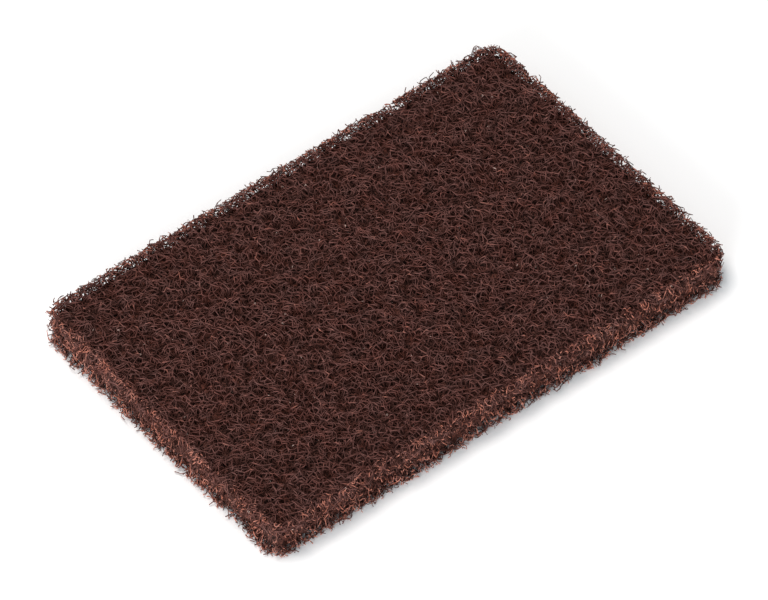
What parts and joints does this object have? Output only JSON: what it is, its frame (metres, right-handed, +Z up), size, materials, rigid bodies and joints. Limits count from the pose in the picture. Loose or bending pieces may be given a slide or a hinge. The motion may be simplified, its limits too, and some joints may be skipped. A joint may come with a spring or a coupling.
{
  "type": "abrasive fleece pad",
  "caption": "Rectangular hand pad cut from a thick, open web of curled resin-bonded abrasive fibre, for scouring, matting and sanding by hand.",
  "frame": {"origin": "middle of the underside, on the surface that the pad rests on", "axes": "+X along the length, +Y across the width, +Z up out of the upper face"},
  "size_m": [0.15, 0.095, 0.012],
  "materials": {
    "fibre_web": "matt reddish-brown open web of curled fibres, with a fine abrasive grain"
  },
  "bodies": {
    "root": {"fleece_pad": "fibre_web"}
  },
  "joints": []
}
